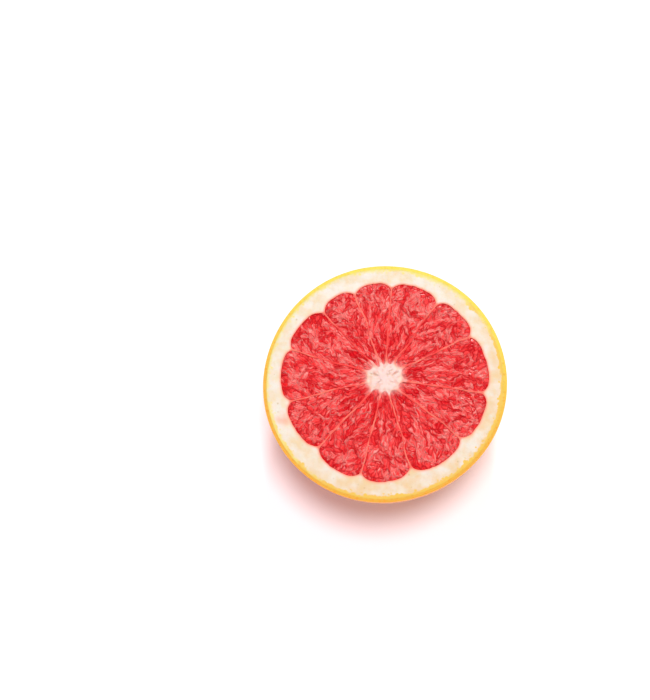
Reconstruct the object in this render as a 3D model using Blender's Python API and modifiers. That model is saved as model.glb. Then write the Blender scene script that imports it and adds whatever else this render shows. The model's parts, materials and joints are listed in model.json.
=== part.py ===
"""A halved grapefruit, cut across its equator, lying on its dome with the cut face up.

Sizes are in metres from the middle of the flat spot that the half rests on, with Z up. Each
layer that the cut lays open is a solid of its own: the coloured rind, the pale pith with the
membranes and the core that grow from it, and the twelve segments of pulp in their pockets.
"""

import math
import random

import bmesh
import bpy
from mathutils import Vector
from mathutils.geometry import delaunay_2d_cdt

# The half as a whole
CUT_RADIUS = 0.0550
HALF_DEPTH = 0.0500
FLAT_SPOT_RADIUS = 0.0090

# Its layers
RIND_THICKNESS = 0.0016
PULP_DEPTH = 0.0405
MEMBRANE_THICKNESS = 0.0007
LAYER_GAP = 0.0003

# The fruit is not quite round: how many waves round the cut, how deep and where they crest
LOPSIDED_WAVES = ((2, 0.0050, 0.3), (3, 0.0025, 1.9), (5, 0.0015, 0.8))

# The core grew a little off the fruit's axis
CORE_PLACE = Vector((0.0004, 0.0022))
# Where a membrane meets the core it thickens by this much a side, and loses it over this length
ROOT_FLARE = 0.00035
ROOT_LENGTH = 0.0030

# Each segment's near membrane, in degrees about the core, how far from the fruit's axis that
# membrane reaches, and how far from the core's middle the segment's inner tip begins
SEGMENTS = (
    (-166.5, 0.0426, 0.0083),
    (-133.5, 0.0410, 0.0066),
    (-104.0, 0.0428, 0.0067),
    (-75.0, 0.0410, 0.0070),
    (-40.5, 0.0422, 0.0071),
    (-10.5, 0.0438, 0.0080),
    (25.0, 0.0430, 0.0076),
    (55.0, 0.0430, 0.0065),
    (85.0, 0.0438, 0.0060),
    (108.5, 0.0426, 0.0055),
    (132.0, 0.0425, 0.0070),
    (162.0, 0.0446, 0.0085),
)
# A segment bulges this far past the ends of its membranes, in corners rounded over a width,
# and its middle swells a little further
LOBE_RISE = 0.0029
LOBE_CORNER = 0.0055
LOBE_SWELL = 0.0006
# The inner tip is this much longer than its two corners
TIP_LENGTH = 0.0010

# How the curved surfaces are divided
TURN_STEPS = 48
DOME_RINGS = 11
LOBE_STEPS = 8
SIDE_STATIONS = (0.0, 0.30, 0.66, 1.0)
SINK_ANGLES = (0.0, 13.0, 26.0, 39.0, 51.0, 63.0, 74.0)

# The juice sacs stand out of each segment's cut face, which lies a little under the pith's
PULP_SUNK = 0.0005
SAC_CREST = 0.0012
SAC_WIDTH = 0.0032
# They stand in rows that end at these shares of the way from the segment's tip to its lobe
SAC_ROWS = (0.0, 0.20, 0.41, 0.61, 0.79, 0.96)
SAC_TIP_MARGIN = 0.0010
# Each row's sacs reach this far between the next row's, and ends this near each other meet
SAC_INTERLOCK = 0.025
SAC_MEETING = 0.09
# A sac is lower at its neck, this share of its length out, and highest at its belly
SAC_NECK = 0.34
SAC_NECK_HEIGHT = 0.7
SAC_BELLY = 0.72
# Sacs stray by this share of a width, drawn from a seed
SAC_JITTER = 0.12
SAC_SEED = 12

CUTTER_RISE = 0.0010

RIND_COLOUR = (0.93, 0.43, 0.04, 1.0)
PITH_COLOUR = (0.95, 0.84, 0.68, 1.0)
PULP_COLOUR = (0.78, 0.07, 0.07, 1.0)


def clear_scene():
    """Remove every object the scene starts with."""
    for thing in list(bpy.data.objects):
        bpy.data.objects.remove(thing, do_unlink=True)


def new_collection(name):
    """Add a named collection to the scene."""
    collection = bpy.data.collections.new(name)
    bpy.context.scene.collection.children.link(collection)
    return collection


def new_material(name, colour, roughness):
    """Make a plain material of one colour."""
    material = bpy.data.materials.new(name)
    material.use_nodes = True
    shader = material.node_tree.nodes["Principled BSDF"]
    shader.inputs["Base Color"].default_value = colour
    shader.inputs["Roughness"].default_value = roughness
    shader.inputs["Metallic"].default_value = 0.0
    material.diffuse_color = colour
    return material


def new_object(name, mesh, collection, material=None):
    """Link a mesh to its collection as a named object."""
    thing = bpy.data.objects.new(name, mesh)
    collection.objects.link(thing)
    if material:
        mesh.materials.append(material)
    return thing


def lopsided(mesh):
    """Press a round mesh into the fruit's own slightly uneven outline."""
    for vertex in mesh.vertices:
        angle = math.atan2(vertex.co.y, vertex.co.x)
        swell = 1.0 + sum(
            depth * math.cos(waves * (angle - crest)) for waves, depth, crest in LOPSIDED_WAVES
        )
        vertex.co.x *= swell
        vertex.co.y *= swell


def dome_ring(radius, depth, share):
    """Point at a share of the way down a dome's side, from the cut to its lowest ring."""
    lowest = math.acos(FLAT_SPOT_RADIUS / CUT_RADIUS)
    angle = share * lowest
    return radius * math.cos(angle), HALF_DEPTH - depth * math.sin(angle) / math.sin(lowest)


def dome_side(radius, depth):
    """Profile of a dome from its rim down to the ring round the flat spot."""
    return [dome_ring(radius, depth, ring / DOME_RINGS) for ring in range(DOME_RINGS + 1)]


def turned(name, profile, collection, material):
    """Turn a profile of (radius, height) points about the fruit's axis into a solid."""
    mesh = bpy.data.meshes.new(name)
    points = [(radius, 0.0, height) for radius, height in profile]
    mesh.from_pydata(points, [(at, at + 1) for at in range(len(points) - 1)], [])
    thing = new_object(name, mesh, collection)
    screw = thing.modifiers.new("Turn", "SCREW")
    screw.axis = "Z"
    screw.angle = 2.0 * math.pi
    screw.steps = TURN_STEPS
    screw.render_steps = TURN_STEPS
    screw.use_merge_vertices = True
    screw.merge_threshold = 0.00001
    graph = bpy.context.evaluated_depsgraph_get()
    solid = bpy.data.meshes.new_from_object(thing.evaluated_get(graph))
    solid.name = name
    thing.modifiers.clear()
    thing.data = solid
    bpy.data.meshes.remove(mesh)
    solid.materials.clear()
    solid.materials.append(material)
    lopsided(solid)
    solid.shade_smooth()
    solid.set_sharp_from_angle(angle=math.radians(40.0))
    return thing


def build_rind(collection):
    """The coloured outer layer: a thin bowl, cut off level and resting on its flat spot."""
    outer = dome_side(CUT_RADIUS, HALF_DEPTH)
    inner = dome_side(CUT_RADIUS - RIND_THICKNESS, HALF_DEPTH - RIND_THICKNESS)
    floor = [(0.0, 0.0), (0.0, inner[-1][1])]
    profile = outer + floor + inner[::-1] + outer[:1]
    return turned("rind", profile, collection, new_material("rind", RIND_COLOUR, 0.38))


def polar(angle, radius):
    """Plan vector of a length in a direction."""
    return Vector((math.cos(angle), math.sin(angle))) * radius


def direction(plan_vector):
    """Angle of a plan vector, anticlockwise from +X."""
    return math.atan2(plan_vector.y, plan_vector.x)


def way_out(start, angle, radius):
    """Distance from start in a direction to the circle of a radius about the fruit's axis."""
    along = start.dot(polar(angle, 1.0))
    return math.sqrt(along * along - start.length_squared + radius * radius) - along


def blend(first, second, share):
    """Value a share of the way from first to second."""
    return first + (second - first) * share


def membrane_sides(index):
    """A segment's two membranes as (angle, reach), and its tip's distance from the core."""
    angle, reach, tip = SEGMENTS[index]
    next_angle, next_reach, _ = SEGMENTS[(index + 1) % len(SEGMENTS)]
    if next_angle < angle:
        next_angle += 360.0
    return (math.radians(angle), reach), (math.radians(next_angle), next_reach), tip


def side_points(core, membrane, side, tip, spread, inset):
    """Points along one side of a segment, from its tip corner out to the membrane's end."""
    angle, reach = membrane
    across = polar(angle + math.pi / 2.0, 1.0)
    first = tip + TIP_LENGTH + inset
    last = way_out(core, angle, reach * spread - inset)
    points = []
    for station in SIDE_STATIONS:
        distance = blend(first, last, station)
        flare = ROOT_FLARE * math.exp((tip - distance) / ROOT_LENGTH)
        offset = MEMBRANE_THICKNESS / 2.0 + inset + flare
        points.append(core + polar(angle, distance) + across * side * offset)
    return points


def lobe_bulge(low, high, share):
    """How far a segment stands out past its membranes' ends, a share of the way across."""
    width = (high[0] - low[0]) * (low[1] + high[1]) / 2.0
    from_side = min(1.0, width * min(share, 1.0 - share) / LOBE_CORNER)
    corner = math.sqrt(1.0 - (1.0 - from_side) ** 2)
    return LOBE_RISE * corner + LOBE_SWELL * math.sin(math.pi * share)


def segment_plan(index, sink, inset):
    """Anticlockwise plan of a segment at an angle below the cut, drawn in by an inset."""
    low, high, tip = membrane_sides(index)
    spread = math.cos(sink)
    core = CORE_PLACE * spread
    near = side_points(core, low, 1.0, tip, spread, inset)
    far = side_points(core, high, -1.0, tip, spread, inset)
    first = direction(near[-1] - core)
    last = direction(far[-1] - core)
    if last < first:
        last += 2.0 * math.pi
    lobe = []
    for step in range(1, LOBE_STEPS):
        share = (1.0 - math.cos(math.pi * step / LOBE_STEPS)) / 2.0
        radius = spread * (blend(low[1], high[1], share) + lobe_bulge(low, high, share)) - inset
        angle = blend(first, last, share)
        lobe.append(core + polar(angle, way_out(core, angle, radius)))
    point = core + polar((low[0] + high[0]) / 2.0, tip + inset)
    return near + lobe + far[::-1] + [point]


def add_walls(shape, loops):
    """Join a stack of equal loops, each lower than the one before, by their sides."""
    for upper, lower in zip(loops, loops[1:]):
        for at in range(len(upper)):
            after = (at + 1) % len(upper)
            shape.faces.new((upper[at], lower[at], lower[after], upper[after]))
    shape.faces.new(loops[-1][::-1])


def segment_loops(shape, index, inset, top):
    """Add a segment's stacked outlines to a mesh, the highest at the height top."""
    loops = []
    for degrees in SINK_ANGLES:
        sink = math.radians(degrees)
        height = HALF_DEPTH - (PULP_DEPTH - inset) * math.sin(sink)
        if not loops:
            height = top
        plan = segment_plan(index, sink, inset)
        loops.append([shape.verts.new((point.x, point.y, height)) for point in plan])
    return loops


def pocket_cutter(index, collection):
    """The solid that hollows one segment's pocket out of the pith."""
    shape = bmesh.new()
    loops = segment_loops(shape, index, 0.0, HALF_DEPTH)
    rise = Vector((0.0, 0.0, CUTTER_RISE))
    loops.insert(0, [shape.verts.new(corner.co + rise) for corner in loops[0]])
    add_walls(shape, loops)
    shape.faces.new(loops[0])
    mesh = bpy.data.meshes.new(f"pocket_{index + 1:02d}")
    shape.to_mesh(mesh)
    shape.free()
    lopsided(mesh)
    cutter = new_object(mesh.name, mesh, collection)
    cutter.hide_render = True
    cutter.display_type = "WIRE"
    return cutter


def build_pith(collection, cutters):
    """The pale layer in one solid with the membranes and the core, round twelve pockets."""
    shell = RIND_THICKNESS + LAYER_GAP
    profile = [(0.0, HALF_DEPTH)] + dome_side(CUT_RADIUS - shell, HALF_DEPTH - shell)
    profile.append((0.0, profile[-1][1]))
    pith = turned("pith", profile, collection, new_material("pith", PITH_COLOUR, 0.6))
    for index in range(len(SEGMENTS)):
        pocket_cutter(index, cutters)
    cut = pith.modifiers.new("Pockets", "BOOLEAN")
    cut.operation = "DIFFERENCE"
    cut.solver = "EXACT"
    cut.operand_type = "COLLECTION"
    cut.collection = cutters
    return pith


def sac_place(index, across, along):
    """Plan point a share of the way across a segment and from its tip out to its lobe."""
    low, high, tip = membrane_sides(index)
    inner = tip + TIP_LENGTH + SAC_TIP_MARGIN
    rim = blend(low[1], high[1], across) + lobe_bulge(low, high, across) - LAYER_GAP
    outer = way_out(CORE_PLACE, blend(low[0], high[0], across), rim)
    distance = blend(inner, outer, along)
    edge = (MEMBRANE_THICKNESS / 2.0 + LAYER_GAP) / distance
    return CORE_PLACE + polar(blend(low[0] + edge, high[0] - edge, across), distance)


def sac_columns(index):
    """How many juice sacs stand side by side in each row across a segment."""
    counts = []
    for start, end in zip(SAC_ROWS, SAC_ROWS[1:]):
        middle = (start + end) / 2.0
        width = (sac_place(index, 1.0, middle) - sac_place(index, 0.0, middle)).length
        counts.append(max(1, round(width / SAC_WIDTH)))
    return counts


def sac_relief(index, draw):
    """Points (x, y, height) of the juice sacs on a segment's cut face, and its valley lines."""
    counts = sac_columns(index)
    points = []

    def place(across, along, height):
        """Add a point of the relief and return its number."""
        spot = sac_place(index, across, along)
        points.append((spot.x, spot.y, height))
        return len(points) - 1

    ends = {}
    valleys = []
    for line, along in enumerate(SAC_ROWS):
        sides = []
        for row, step in ((line - 1, SAC_INTERLOCK), (line, -SAC_INTERLOCK)):
            if 0 <= row < len(counts):
                for column in range(1, counts[row]):
                    across = (column + draw.uniform(-SAC_JITTER, SAC_JITTER)) / counts[row]
                    sides.append((across, step, (row, column)))
        last = None
        for across, step, key in sorted(sides):
            if last and across - last[0] < SAC_MEETING:
                ends.setdefault(key, []).append(last[1])
                continue
            point = place(across, along + step, 0.0)
            ends.setdefault(key, []).append(point)
            if last:
                valleys.append((last[1], point))
            last = (across, point)
    valleys += [tuple(pair) for pair in ends.values()]
    for row, (start, end) in enumerate(zip(SAC_ROWS, SAC_ROWS[1:])):
        for column in range(counts[row]):
            across = (column + 0.5 + draw.uniform(-SAC_JITTER, SAC_JITTER) / 2.0) / counts[row]
            crest = SAC_CREST * draw.uniform(0.8, 1.0)
            place(across, blend(start, end, SAC_NECK), crest * SAC_NECK_HEIGHT)
            place(across, blend(start, end, SAC_BELLY), crest)
    return points, valleys


def build_segment(index, collection, material):
    """One segment of pulp: a tapering wedge whose cut face is raised into juice sacs."""
    shape = bmesh.new()
    base = HALF_DEPTH - PULP_SUNK
    loops = segment_loops(shape, index, LAYER_GAP, base)
    add_walls(shape, loops)
    raised, valleys = sac_relief(index, random.Random(SAC_SEED + index))
    rim = loops[0]
    plan = [corner.co.xy for corner in rim] + [Vector((x, y)) for x, y, _ in raised]
    spots = rim + [shape.verts.new((x, y, base + height)) for x, y, height in raised]
    lines = [(one + len(rim), other + len(rim)) for one, other in valleys]
    outline = list(range(len(rim)))
    _, _, triangles, _, _, _ = delaunay_2d_cdt(plan, lines, [outline], 1, 0.000001)
    for triangle in triangles:
        shape.faces.new([spots[corner] for corner in triangle])
    mesh = bpy.data.meshes.new(f"segment_{index + 1:02d}")
    shape.to_mesh(mesh)
    shape.free()
    lopsided(mesh)
    return new_object(mesh.name, mesh, collection, material)


def main():
    """Build the half: the rind, the pith and the twelve segments of pulp."""
    clear_scene()
    fruit = new_collection("grapefruit_half")
    cutters = new_collection("grapefruit_half_cutters")
    build_rind(fruit)
    build_pith(fruit, cutters)
    pulp = new_material("pulp", PULP_COLOUR, 0.3)
    for index in range(len(SEGMENTS)):
        build_segment(index, fruit, pulp)


main()
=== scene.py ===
"""Looks for half a grapefruit that lies on its dome with the cut face up.

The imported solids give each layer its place. This script gives the layers their waxy skin,
their cream pith with its membranes and core, and their wet juice sacs, and sets the stage.
Sizes are in metres, with Z up and the middle of the flat spot under the dome at the origin.
"""

import json
import math
import random

import bmesh
import bpy
import numpy as np
from bpy.props import FloatProperty, FloatVectorProperty, IntProperty, PointerProperty
from mathutils import Matrix, Vector, kdtree, noise

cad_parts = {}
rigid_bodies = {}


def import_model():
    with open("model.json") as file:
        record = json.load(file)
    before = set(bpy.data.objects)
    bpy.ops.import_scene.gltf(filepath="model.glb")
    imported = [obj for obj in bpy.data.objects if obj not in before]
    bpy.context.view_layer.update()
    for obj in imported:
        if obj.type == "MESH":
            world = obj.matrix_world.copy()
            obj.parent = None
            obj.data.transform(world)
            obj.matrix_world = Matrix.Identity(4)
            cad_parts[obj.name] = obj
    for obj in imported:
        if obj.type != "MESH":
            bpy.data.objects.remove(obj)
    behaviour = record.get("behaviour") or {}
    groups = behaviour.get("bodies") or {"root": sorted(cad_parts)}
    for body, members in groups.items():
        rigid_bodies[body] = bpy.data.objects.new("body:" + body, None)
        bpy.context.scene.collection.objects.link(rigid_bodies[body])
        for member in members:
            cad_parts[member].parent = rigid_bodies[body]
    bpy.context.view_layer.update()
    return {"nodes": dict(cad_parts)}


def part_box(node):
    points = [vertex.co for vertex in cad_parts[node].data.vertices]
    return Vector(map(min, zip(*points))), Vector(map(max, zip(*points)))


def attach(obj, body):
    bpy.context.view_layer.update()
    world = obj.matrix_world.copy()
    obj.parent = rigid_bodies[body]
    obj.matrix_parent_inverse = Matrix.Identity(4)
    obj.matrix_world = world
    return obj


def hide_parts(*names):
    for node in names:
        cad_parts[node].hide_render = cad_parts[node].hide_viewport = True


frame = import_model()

bl_info = {
    "name": "Grapefruit Half",
    "version": (1, 0, 0),
    "blender": (4, 5, 0),
    "location": "View3D > Sidebar > Grapefruit",
    "description": "Rind, pith and pulp of half a grapefruit, and the stage it lies on",
    "category": "Add Mesh",
}

SEGMENT_NODES = sorted(name for name in frame["nodes"] if name.startswith("segment"))

# The dome under the cut, as the solids have it, with the pith's dome inside the rind
CUT_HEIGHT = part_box("rind")[1].z
CUT_RADIUS = 0.0550
FLAT_SPOT_RADIUS = 0.0090
RIND_THICKNESS = 0.0016
DOME_DEPTH = CUT_HEIGHT / math.sqrt(1.0 - (FLAT_SPOT_RADIUS / CUT_RADIUS) ** 2)
PITH_RADIUS = CUT_RADIUS - RIND_THICKNESS
PITH_DEPTH = DOME_DEPTH - RIND_THICKNESS
# The middle of the core on the cut
CORE_PLACE = (0.0004, 0.0022)

# How finely the layers are divided: steps round a quarter of the cut, rings across the rim and
# down a hidden wall, and rings in from the edge of the pith
QUARTER_STEPS = 160
RIM_RINGS = 6
WALL_RINGS = 8
PITH_RING = 0.00045

# A segment's fine grid, the coarser one of its pocket, and the points along a smooth outline
SAC_COLUMNS = 104
SAC_STEPS = 128
POCKET_COLUMNS = 40
POCKET_STEPS = 90
SPAN_POINTS = 24
CURVE_POINTS = 240

# Corners of a segment's outline in the solids, and those where its lobe starts and ends. Only
# raised sacs stand higher than this far under the cut.
CORNERS = 16
LOBE_START, LOBE_END = 4, 12
SAC_FOOT = 0.0004
# A point is on a convex outline when more than this turn round it is free of other points,
# not counting those within a hair of it
FREE_TURN = math.radians(176.0)
HAIR = 0.00005

# The solids keep a gap round each segment. Its pocket is cut this much wider than the solid
# segment, and the pulp fills the pocket with a hair's overlap.
POCKET_SWELL = 0.00032
PULP_SWELL = 0.00038
POCKET_RISE = 0.0010
# Membranes wander together with the pulp on both sides, and vary in thickness by themselves.
# The wandering dies out between two distances from the middle of the cut.
WANDER = 0.00045
WANDER_SIZE = 0.0090
WANDER_ENDS = (0.040, 0.050)
WAVER = 0.00011
WAVER_SIZE = 0.0026

# Unevenness of a surface as waves, each with its height, its size and a seed
FACE_WAVES = ((0.00010, 0.0045, 3.1), (0.00003, 0.0013, 7.7))
SKIN_WAVES = ((0.00022, 0.016, 1.3), (0.00006, 0.0032, 5.9))

# The skin's relief fades out over this height towards the cut. Its edge is a small bevel: the
# skin ends a little under the cut, and the cut face starts a little way in.
CALM_EDGE = 0.0012
RIM_DROP = 0.00012
RIM_INSET = 0.00010
# How far pores stray, in spacings, and how wide and strong they are
PORE_STRAY = 0.22
PORE_WIDTHS = (0.24, 0.36)
PORE_STRENGTHS = (0.25, 1.0)
# The dry scar in the middle of the flat spot and the shallow hollow round it: how wide each is
# and how far it stands off the ground. Nothing above SCAR_TOP is scar.
SCAR_RADIUS, SCAR_RISE, SCAR_TOP = 0.0017, 0.0007, 0.01
HOLLOW_RADIUS, HOLLOW_RISE = 0.0045, 0.00025
# What is stored as zest goes from this at the rim's outermost ring to 1 at its inner side
ZEST_START = 0.06

# Short splits in the core: start and end from its middle, and half width
CORE_SPLITS = (
    ((0.0012, 0.0010), (0.0034, 0.0036), 0.00050),
    ((0.0034, 0.0008), (0.0062, 0.0028), 0.00046),
    ((-0.0034, 0.0010), (-0.0066, 0.0016), 0.00046),
    ((-0.0020, -0.0016), (-0.0034, -0.0026), 0.00034),
)
SPLIT_DEPTH = 0.0005
SPLIT_ENDS = (0.0065, 0.0080)
# A place is membrane where its distances from the two nearest segments add up to less than
# the first of these, and is none past the second
MEMBRANE_SPAN = (0.0009, 0.0024)
# The white core thins out between these distances from its middle, and is ragged by this much
CORE_ENDS = (0.0050, 0.0105)
CORE_RAGGED, CORE_RAGGED_SIZE = 0.0030, 0.0022
# Relief of the core: its rise, the waves on it, and how deep its rays are
CORE_RISE, CORE_WAVES, CORE_WAVES_SIZE, RAY_DEPTH = 0.00020, 0.00012, 0.0016, 0.00030
# The pith dips a little along the pulp, and is tinted over this distance from it
PULP_DIP, PULP_DIP_WIDTH, TINT_WIDTH = 0.00005, 0.00012, 0.0008
# Where juice hides the membranes for part of their length: direction and half width
VEILED_SIDES = ((2.55, 0.50), (0.80, 0.26), (0.10, 0.10), (-0.95, 0.12))
# The veil sets in between the first two distances from the core's middle, and ends between the
# last two
VEILED_FROM, VEILED_TO = (0.0090, 0.0120), (0.0310, 0.0370)
# A side of the pith that juice has stained: its middle and half width
STAIN_PLACE, STAIN_SIZE = (-0.0455, -0.0170), 0.0040

# How the juice sacs vary in length and width, as shares of their settings, and where across a
# sac its painted highlight streak runs, in half widths
SAC_LENGTHS = (0.45, 1.45)
SAC_WIDTHS = (0.65, 1.4)
SAC_GLINT_STREAKS = (-0.7, 0.7)
# How many places are tried for each sac. The one furthest from all earlier sacs is taken.
SAC_TRIES = 60
# Between these shares of the way out, sacs come to point more and more freely
SAC_FREEDOM = (0.15, 0.70)
# A sac's edges are rounded over this width. Sacs bend by this much, stand higher or lower by
# up to one height, and rise by another towards their outer end.
SAC_ROUNDING = 0.00042
SAC_BEND, SAC_BEND_SIZE = 0.0009, 0.0019
SAC_LIFT, SAC_END_RISE = 0.00018, 0.00012
# The whole face of a segment swells in broad waves, and sinks along its edge
FACE_SWELL, FACE_SWELL_SIZE = 0.00040, 0.0065
EDGE_SINK, EDGE_SINK_WIDTH = 0.00016, 0.0004
# Lengths that a share of the way out stands for, counted to the lobe and from the tip, and the
# length over which the tip's paleness fades
LOBE_REACH, TIP_REACH, PALE_TIP = 0.03, 0.033, 0.0009
# Each sac takes its fibres from its own part of the pattern
GRAIN_SHIFT = 0.013

# Colours besides those that are settings
GLAND_SHADE = (0.70, 0.22, 0.008)
PORE_SHADE = (0.50, 0.15, 0.008)
SCAR_BROWN = (0.16, 0.075, 0.025)
# The lemon colours of the zest, its inner side and the band under it are painted light for the
# lit top side of the rim
ZEST_LIT_YELLOW = (0.71, 0.63, 0.085)
ZEST_OIL = (0.70, 0.31, 0.020)
INNER_GOLD, INNER_LIT_YELLOW = (0.71, 0.50, 0.085), (0.71, 0.66, 0.18)
PITH_FLECK = (0.66, 0.54, 0.28)
PITH_PATCH = (0.68, 0.72, 0.68)
PITH_SPECK = (0.50, 0.41, 0.22)
BAND_GOLD, BAND_LIT_YELLOW = (0.70, 0.49, 0.085), (0.70, 0.64, 0.20)
MEMBRANE_FLECK = (0.78, 0.09, 0.07)
# Painted shade in the core's sunken rays and splits
CORE_RAY_SHADE = (0.70, 0.40, 0.31)
CORE_SPLIT = (0.55, 0.36, 0.25)
# Pinkish white for painted glints on the wet pulp
PAINTED_GLINT = (0.84, 0.34, 0.33)
TIP_PALE = (0.74, 0.38, 0.34)
SURFACE_WHITE = (0.95, 0.93, 0.965)
SKY_TINT = (1.0, 0.70, 0.72)
WHITE = (1.0, 1.0, 1.0)

# The stage. The middle of the cut shows right of and below the picture's centre by these
# lengths at its own distance.
FLOOR_SIZE = 6.0
AIM_RIGHT, AIM_DOWN = 0.0266, 0.0147
KEY_PLACE, KEY_WIDTH = (0.20, 0.16, 1.80), math.radians(20.0)
GLINT_PLACE, GLINT_SIZE = (0.10, 0.75, 0.85), 0.16
# Share of the sky's strength that shows in reflections
SKY_SHEEN = 0.1


# Scene and mesh


def deselect_all():
    """Leave nothing selected or active, because an operator acts on all that is."""
    if bpy.context.object and bpy.context.object.mode != "OBJECT":
        bpy.ops.object.mode_set(mode="OBJECT")
    bpy.ops.object.select_all(action="DESELECT")
    bpy.context.view_layer.objects.active = None


def select_only(thing):
    """Make a thing the only one selected, and the active one."""
    deselect_all()
    thing.select_set(True)
    bpy.context.view_layer.objects.active = thing


def add_object(name, data):
    """A new object in the scene."""
    thing = bpy.data.objects.new(name, data)
    bpy.context.scene.collection.objects.link(thing)
    return thing


def close_block(rings, step):
    """Draw the edited block's open edge up or down in rings, a step apart, and close its end."""
    bpy.ops.mesh.select_mode(type="EDGE")
    bpy.ops.mesh.select_all(action="SELECT")
    bpy.ops.mesh.region_to_loop()
    for _ in range(rings):
        bpy.ops.mesh.extrude_edges_move(TRANSFORM_OT_translate={"value": (0.0, 0.0, step)})
    bpy.ops.mesh.edge_face_add()
    bpy.ops.object.mode_set(mode="OBJECT")
    return bpy.context.active_object


def face_outwards():
    """Turn the active mesh's faces to point outwards."""
    bpy.ops.object.mode_set(mode="EDIT")
    bpy.ops.mesh.select_all(action="SELECT")
    bpy.ops.mesh.normals_make_consistent(inside=False)
    bpy.ops.object.mode_set(mode="OBJECT")


def vertex_places(mesh):
    """A mesh's vertices as rows of x, y and z."""
    places = np.empty(len(mesh.vertices) * 3, np.float32)
    mesh.vertices.foreach_get("co", places)
    return places.reshape(-1, 3).astype(float)


def place_vertices(mesh, places):
    """Put a mesh's vertices at rows of x, y and z."""
    mesh.vertices.foreach_set("co", np.ascontiguousarray(places, np.float32).ravel())
    mesh.update()


def store(mesh, looks, where=slice(None)):
    """Keep numbers for vertices under names that the materials read, 0 where none is given."""
    for name, values in looks.items():
        every = np.zeros(len(mesh.vertices), np.float32)
        every[where] = values
        mesh.attributes.new(name, "FLOAT", "POINT").data.foreach_set("value", every)


def piece_from(name, node_names):
    """Name the active object as a finished piece that stands for CAD nodes."""
    piece = bpy.context.active_object
    piece.name = name
    piece.data.name = name
    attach(piece, "root")
    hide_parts(*node_names)


# Numbers


def rough(places, size, seed):
    """Smooth noise at each place, from about -1 to 1, with features of a size."""
    spots = np.asarray(places, float) / size + seed
    if spots.shape[1] == 2:
        spots = np.column_stack((spots, np.full(len(spots), seed)))
    return np.array([noise.noise(spot) for spot in spots.tolist()])


def rough_pair(places, size, first, second):
    """Smooth noise along X and along Y, each from its own seed."""
    return np.column_stack((rough(places, size, first), rough(places, size, second)))


def waves(places, kinds):
    """Height of several kinds of waves together."""
    return sum(height * rough(places, size, seed) for height, size, seed in kinds)


def eased(values, low, high):
    """0 below low and 1 above high, with a soft step between."""
    share = np.clip((values - low) / (high - low), 0.0, 1.0)
    return share * share * (3.0 - 2.0 * share)


def bell(values, width):
    """1 at zero, falling softly to either side within about two widths."""
    return np.exp(-((values / width) ** 2))


def fading(values, length):
    """1 at zero, falling to about a third with each length."""
    return np.exp(-values / length)


def unit_vectors(vectors):
    """Vectors drawn out or in to a length of one."""
    return vectors / np.linalg.norm(vectors, axis=1, keepdims=True)


def distance_from(plan, place):
    """Distance of plan points from a place."""
    return np.hypot(plan[:, 0] - place[0], plan[:, 1] - place[1])


def search_tree(spots):
    """A tree that finds the nearest of some spots."""
    tree = kdtree.KDTree(len(spots))
    for at, spot in enumerate(spots):
        tree.insert(spot, at)
    tree.balance()
    return tree


# Settings


def colour_setting(name, description, default):
    """A colour that a user would change."""
    return FloatVectorProperty(
        name=name, description=description, default=default, subtype="COLOR", min=0.0, max=1.0)


def length_setting(name, description, default, least=0.0):
    """A length that a user would change."""
    return FloatProperty(
        name=name, description=description, default=default, unit="LENGTH", min=least,
        precision=5)


# Nodes and materials


def feed(tree, node, inputs):
    """Give each of a node's named inputs a value or a link."""
    for key, value in inputs.items():
        if isinstance(value, bpy.types.NodeSocket):
            tree.links.new(value, node.inputs[key])
        else:
            node.inputs[key].default_value = value


def put(tree, kind, inputs=(), **options):
    """Add a node, set its options and feed its inputs."""
    made = tree.nodes.new(kind)
    for option, value in options.items():
        setattr(made, option, value)
    feed(tree, made, dict(inputs))
    return made


def colour(value):
    """A colour as a socket takes it: four values, or a link as it is."""
    return value if isinstance(value, bpy.types.NodeSocket) else (*value, 1.0)


def mixed(tree, share, first, second):
    """Colour a share of the way from first to second."""
    made = put(tree, "ShaderNodeMix", {0: share, 6: colour(first), 7: colour(second)},
               data_type="RGBA")
    return made.outputs[2]


def laid_over(tree, base, *coats):
    """A base colour with coats over it in turn, each as its share and its colour."""
    for share, tint in coats:
        base = mixed(tree, share, base, tint)
    return base


def worked_out(tree, operation, first, second):
    """One arithmetic step on two values."""
    return put(tree, "ShaderNodeMath", {0: first, 1: second}, operation=operation).outputs[0]


def times(tree, first, second):
    """The product of two values."""
    return worked_out(tree, "MULTIPLY", first, second)


def weighted(tree, *terms):
    """The sum of some values, each given with its weight."""
    total = None
    for value, weight in terms:
        part = value if weight == 1.0 else times(tree, value, weight)
        total = part if total is None else worked_out(tree, "ADD", total, part)
    return total


def step_between(tree, value, low, high, start=0.0, end=1.0):
    """A soft step from start to end as a value goes from low to high."""
    made = put(
        tree, "ShaderNodeMapRange",
        {"Value": value, "From Min": low, "From Max": high, "To Min": start, "To Max": end},
        interpolation_type="SMOOTHSTEP",
    )
    return made.outputs["Result"]


def stored(tree, name):
    """A number that the mesh keeps at each vertex."""
    return put(tree, "ShaderNodeAttribute", attribute_name=name).outputs["Fac"]


def object_place(tree):
    """Where a point is on the object."""
    return put(tree, "ShaderNodeTexCoord").outputs["Object"]


def plan_of(tree, place):
    """The X and the Y of a place."""
    return put(tree, "ShaderNodeSeparateXYZ", {"Vector": place}).outputs[:2]


def bump(tree, height, distance):
    """Normal for a small relief of a height from 0 to 1."""
    return put(tree, "ShaderNodeBump", {"Height": height, "Distance": distance}).outputs["Normal"]


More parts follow.
